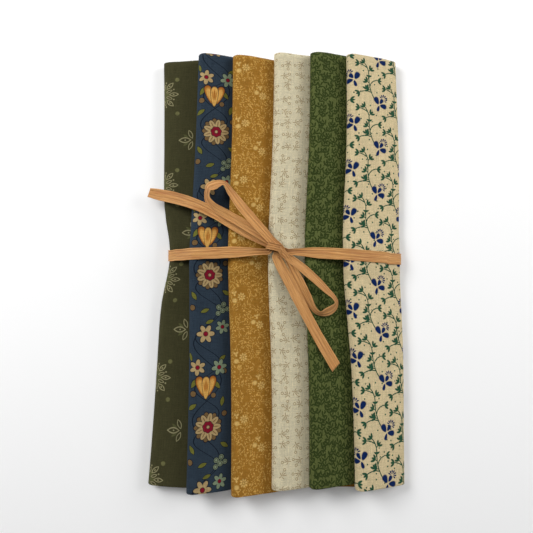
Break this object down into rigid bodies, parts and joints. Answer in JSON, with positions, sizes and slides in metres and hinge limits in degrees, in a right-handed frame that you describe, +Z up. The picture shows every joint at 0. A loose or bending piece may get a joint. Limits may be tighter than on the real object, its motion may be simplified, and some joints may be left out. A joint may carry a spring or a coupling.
{
  "type": "rolled fat quarter bundle",
  "caption": "Flat rolls of printed quilting cotton lying side by side and overlapping like roof tiles, tied once round with a raffia bow.",
  "frame": {"origin": "middle of the rolls' footprint on the surface that the bundle lies on", "axes": "+X from the first, lowest roll to the last, +Y along the rolls towards their raw ends, +Z up"},
  "size_m": [0.1688, 0.282, 0.026],
  "materials": {
    "olive_cotton": "matte plain-woven cotton, dark olive with sage motifs",
    "blue_cotton": "matte plain-woven cotton, slate blue with a floral print",
    "ochre_cotton": "matte plain-woven cotton, ochre with small pale blossoms",
    "cream_cotton": "matte plain-woven cotton, cream with faint taupe sprigs",
    "green_cotton": "matte plain-woven cotton, leaf green with darker leafy twigs",
    "beige_cotton": "matte plain-woven cotton, beige with navy flowers and green vines",
    "raffia": "crinkled paper raffia with a faint sheen"
  },
  "bodies": {
    "root": {"roll_olive": "olive_cotton", "roll_blue": "blue_cotton", "roll_ochre": "ochre_cotton", "roll_cream": "cream_cotton", "roll_green": "green_cotton", "roll_beige": "beige_cotton", "raffia_tie": "raffia"}
  },
  "joints": []
}
